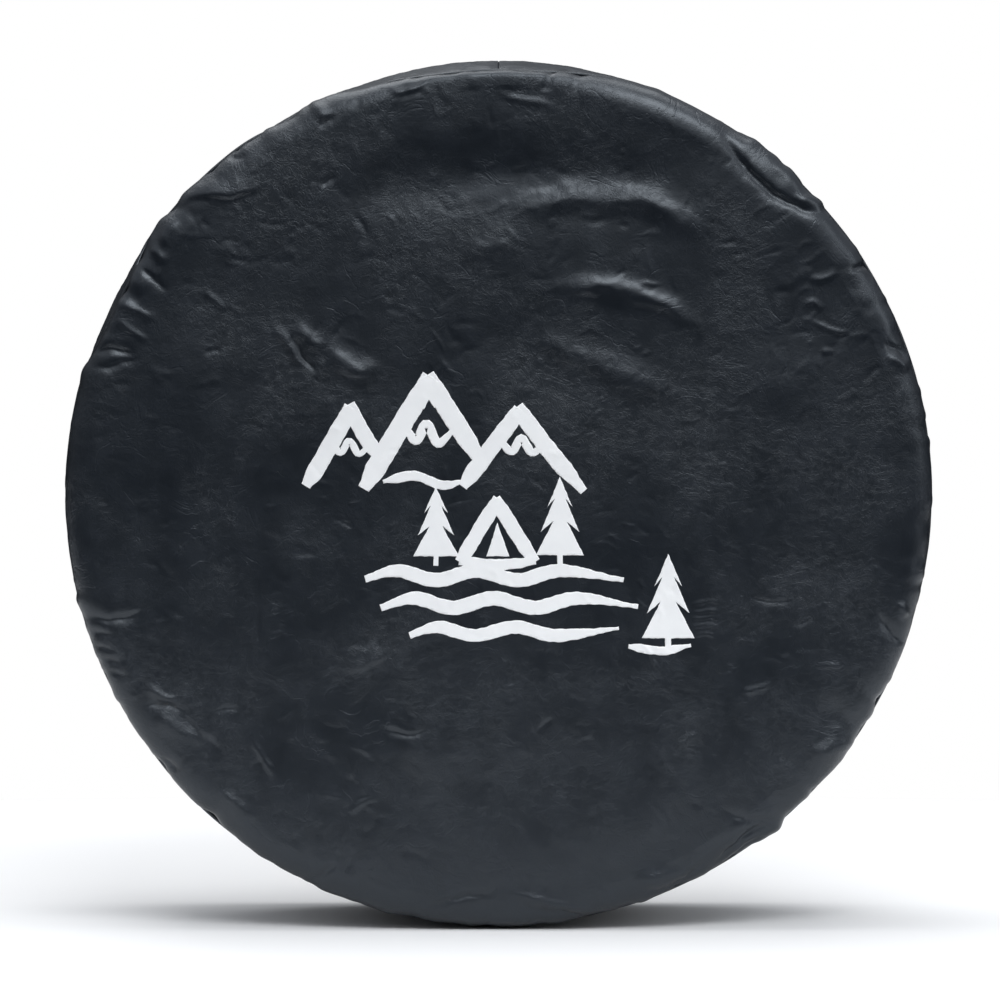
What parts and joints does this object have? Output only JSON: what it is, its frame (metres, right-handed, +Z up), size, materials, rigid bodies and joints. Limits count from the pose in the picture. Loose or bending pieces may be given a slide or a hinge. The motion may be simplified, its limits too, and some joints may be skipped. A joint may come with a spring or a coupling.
{
  "type": "spare tire cover",
  "caption": "Soft vinyl drum that pulls over a spare tyre, with a printed round front, a tread band with drain eyelets, an elastic back hem and a buckled strap across the back.",
  "frame": {"origin": "centre of the tyre the cover fits, on the wheel's axis and halfway across its width", "axes": "+Y along the wheel's axis from the printed front to the open back, +Z up with the drain eyelets at the bottom, +X completes a right-handed frame"},
  "size_m": [0.724, 0.2378, 0.7254],
  "materials": {
    "vinyl": "soft black vinyl leatherette with a low, cool sheen",
    "piping_vinyl": "satin black vinyl round a cord",
    "cord_core": "matte twisted cord inside the piping",
    "binding_tape": "matte black woven tape",
    "elastic": "matte white braided elastic, hidden in its casing",
    "thread": "black bonded polyester thread",
    "webbing": "matte black woven polypropylene webbing",
    "eyelet_metal": "plated metal, lightly brushed",
    "buckle_plastic": "moulded black plastic with a fine grain"
  },
  "bodies": {
    "cover": {"back_seam_tape": "binding_tape", "back_seam_thread": "thread", "back_skirt_left": "vinyl", "back_skirt_right": "vinyl", "band_join_thread": "thread", "buckle_receptacle": "buckle_plastic", "drain_eyelet_barrels": "eyelet_metal", "drain_eyelet_washers": "eyelet_metal", "drain_gusset": "vinyl", "front_panel": "vinyl", "front_piping_cord": "cord_core", "front_piping_sleeve": "piping_vinyl", "front_seam_tape": "binding_tape", "front_seam_thread": "thread", "gusset_join_tapes": "binding_tape", "hem_casing": "vinyl", "hem_elastic": "elastic", "hem_thread": "thread", "skirt_join_tapes": "binding_tape", "skirt_join_thread": "thread", "strap_box_thread": "thread", "strap_left": "webbing", "strap_patch_left": "vinyl", "strap_patch_right": "vinyl", "strap_right": "webbing", "top_join_tape": "binding_tape", "tread_band_left": "vinyl", "tread_band_right": "vinyl"},
    "buckle_male": {"buckle_insert": "buckle_plastic"},
    "latch_arm_upper": {"latch_arm_upper": "buckle_plastic"},
    "latch_arm_lower": {"latch_arm_lower": "buckle_plastic"},
    "strap_keeper": {"strap_keeper": "buckle_plastic"}
  },
  "joints": [
    {"name": "buckle_release", "type": "slide", "parent": "cover", "child": "buckle_male", "axis": [1, 0, 0], "range_m": [0, 0.03], "deforming": ["strap_right", "latch_arm_upper", "latch_arm_lower"]},
    {"name": "latch_arm_upper_press", "type": "hinge", "parent": "buckle_male", "child": "latch_arm_upper", "pos_m": [0.0062, 0.1193, -0.1116], "axis": [0, -1, 0], "range_deg": [0, 14], "stiffness_Nm_per_rad": 0.4},
    {"name": "latch_arm_lower_press", "type": "hinge", "parent": "buckle_male", "child": "latch_arm_lower", "pos_m": [0.0062, 0.1193, -0.1284], "axis": [0, 1, 0], "range_deg": [0, 14], "stiffness_Nm_per_rad": 0.4},
    {"name": "strap_keeper_slide", "type": "slide", "parent": "cover", "child": "strap_keeper", "axis": [1, 0, 0], "range_m": [-0.025, 0.05]}
  ]
}
